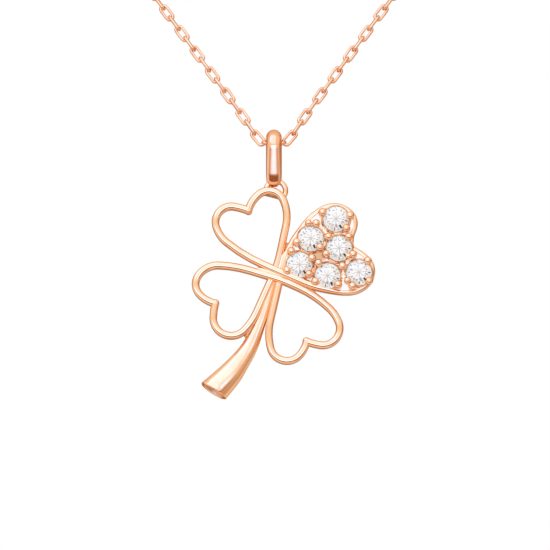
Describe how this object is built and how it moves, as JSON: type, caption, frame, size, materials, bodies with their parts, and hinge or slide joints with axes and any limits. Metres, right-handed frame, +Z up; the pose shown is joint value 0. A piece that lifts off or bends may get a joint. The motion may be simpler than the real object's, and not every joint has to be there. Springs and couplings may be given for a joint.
{
  "type": "four leaf clover pendant necklace",
  "caption": "Fine chain necklace with a four leaf clover pendant of open rose gold wire leaves, one leaf set with round stones, hung from a half-round bail.",
  "frame": {"origin": "the nape, at the back and top of the necklace's loop, where it rests on the neck", "axes": "+Z up, +X to the right seen from the front, the pendant faces -Y"},
  "size_m": [0.1128, 0.1149, 0.1088],
  "materials": {
    "rose_gold": "bright polished rose gold",
    "clear_stone": "clear faceted stone"
  },
  "bodies": {
    "necklace": {"chain": "rose_gold", "clasp": "rose_gold", "end_ring": "rose_gold"},
    "bail": {"bail": "rose_gold"},
    "pendant": {"clover": "rose_gold", "stone_1": "clear_stone", "stone_2": "clear_stone", "stone_3": "clear_stone", "stone_4": "clear_stone", "stone_5": "clear_stone", "stone_6": "clear_stone"}
  },
  "joints": [
    {"name": "bail_swing", "type": "hinge", "parent": "necklace", "child": "bail", "pos_m": [0, -0.112, -0.084], "axis": [1, 0, 0], "range_deg": [-60, 45]},
    {"name": "clover_swing", "type": "hinge", "parent": "bail", "child": "pendant", "pos_m": [0, -0.112, -0.08714], "axis": [1, 0, 0], "range_deg": [-30, 30]}
  ]
}
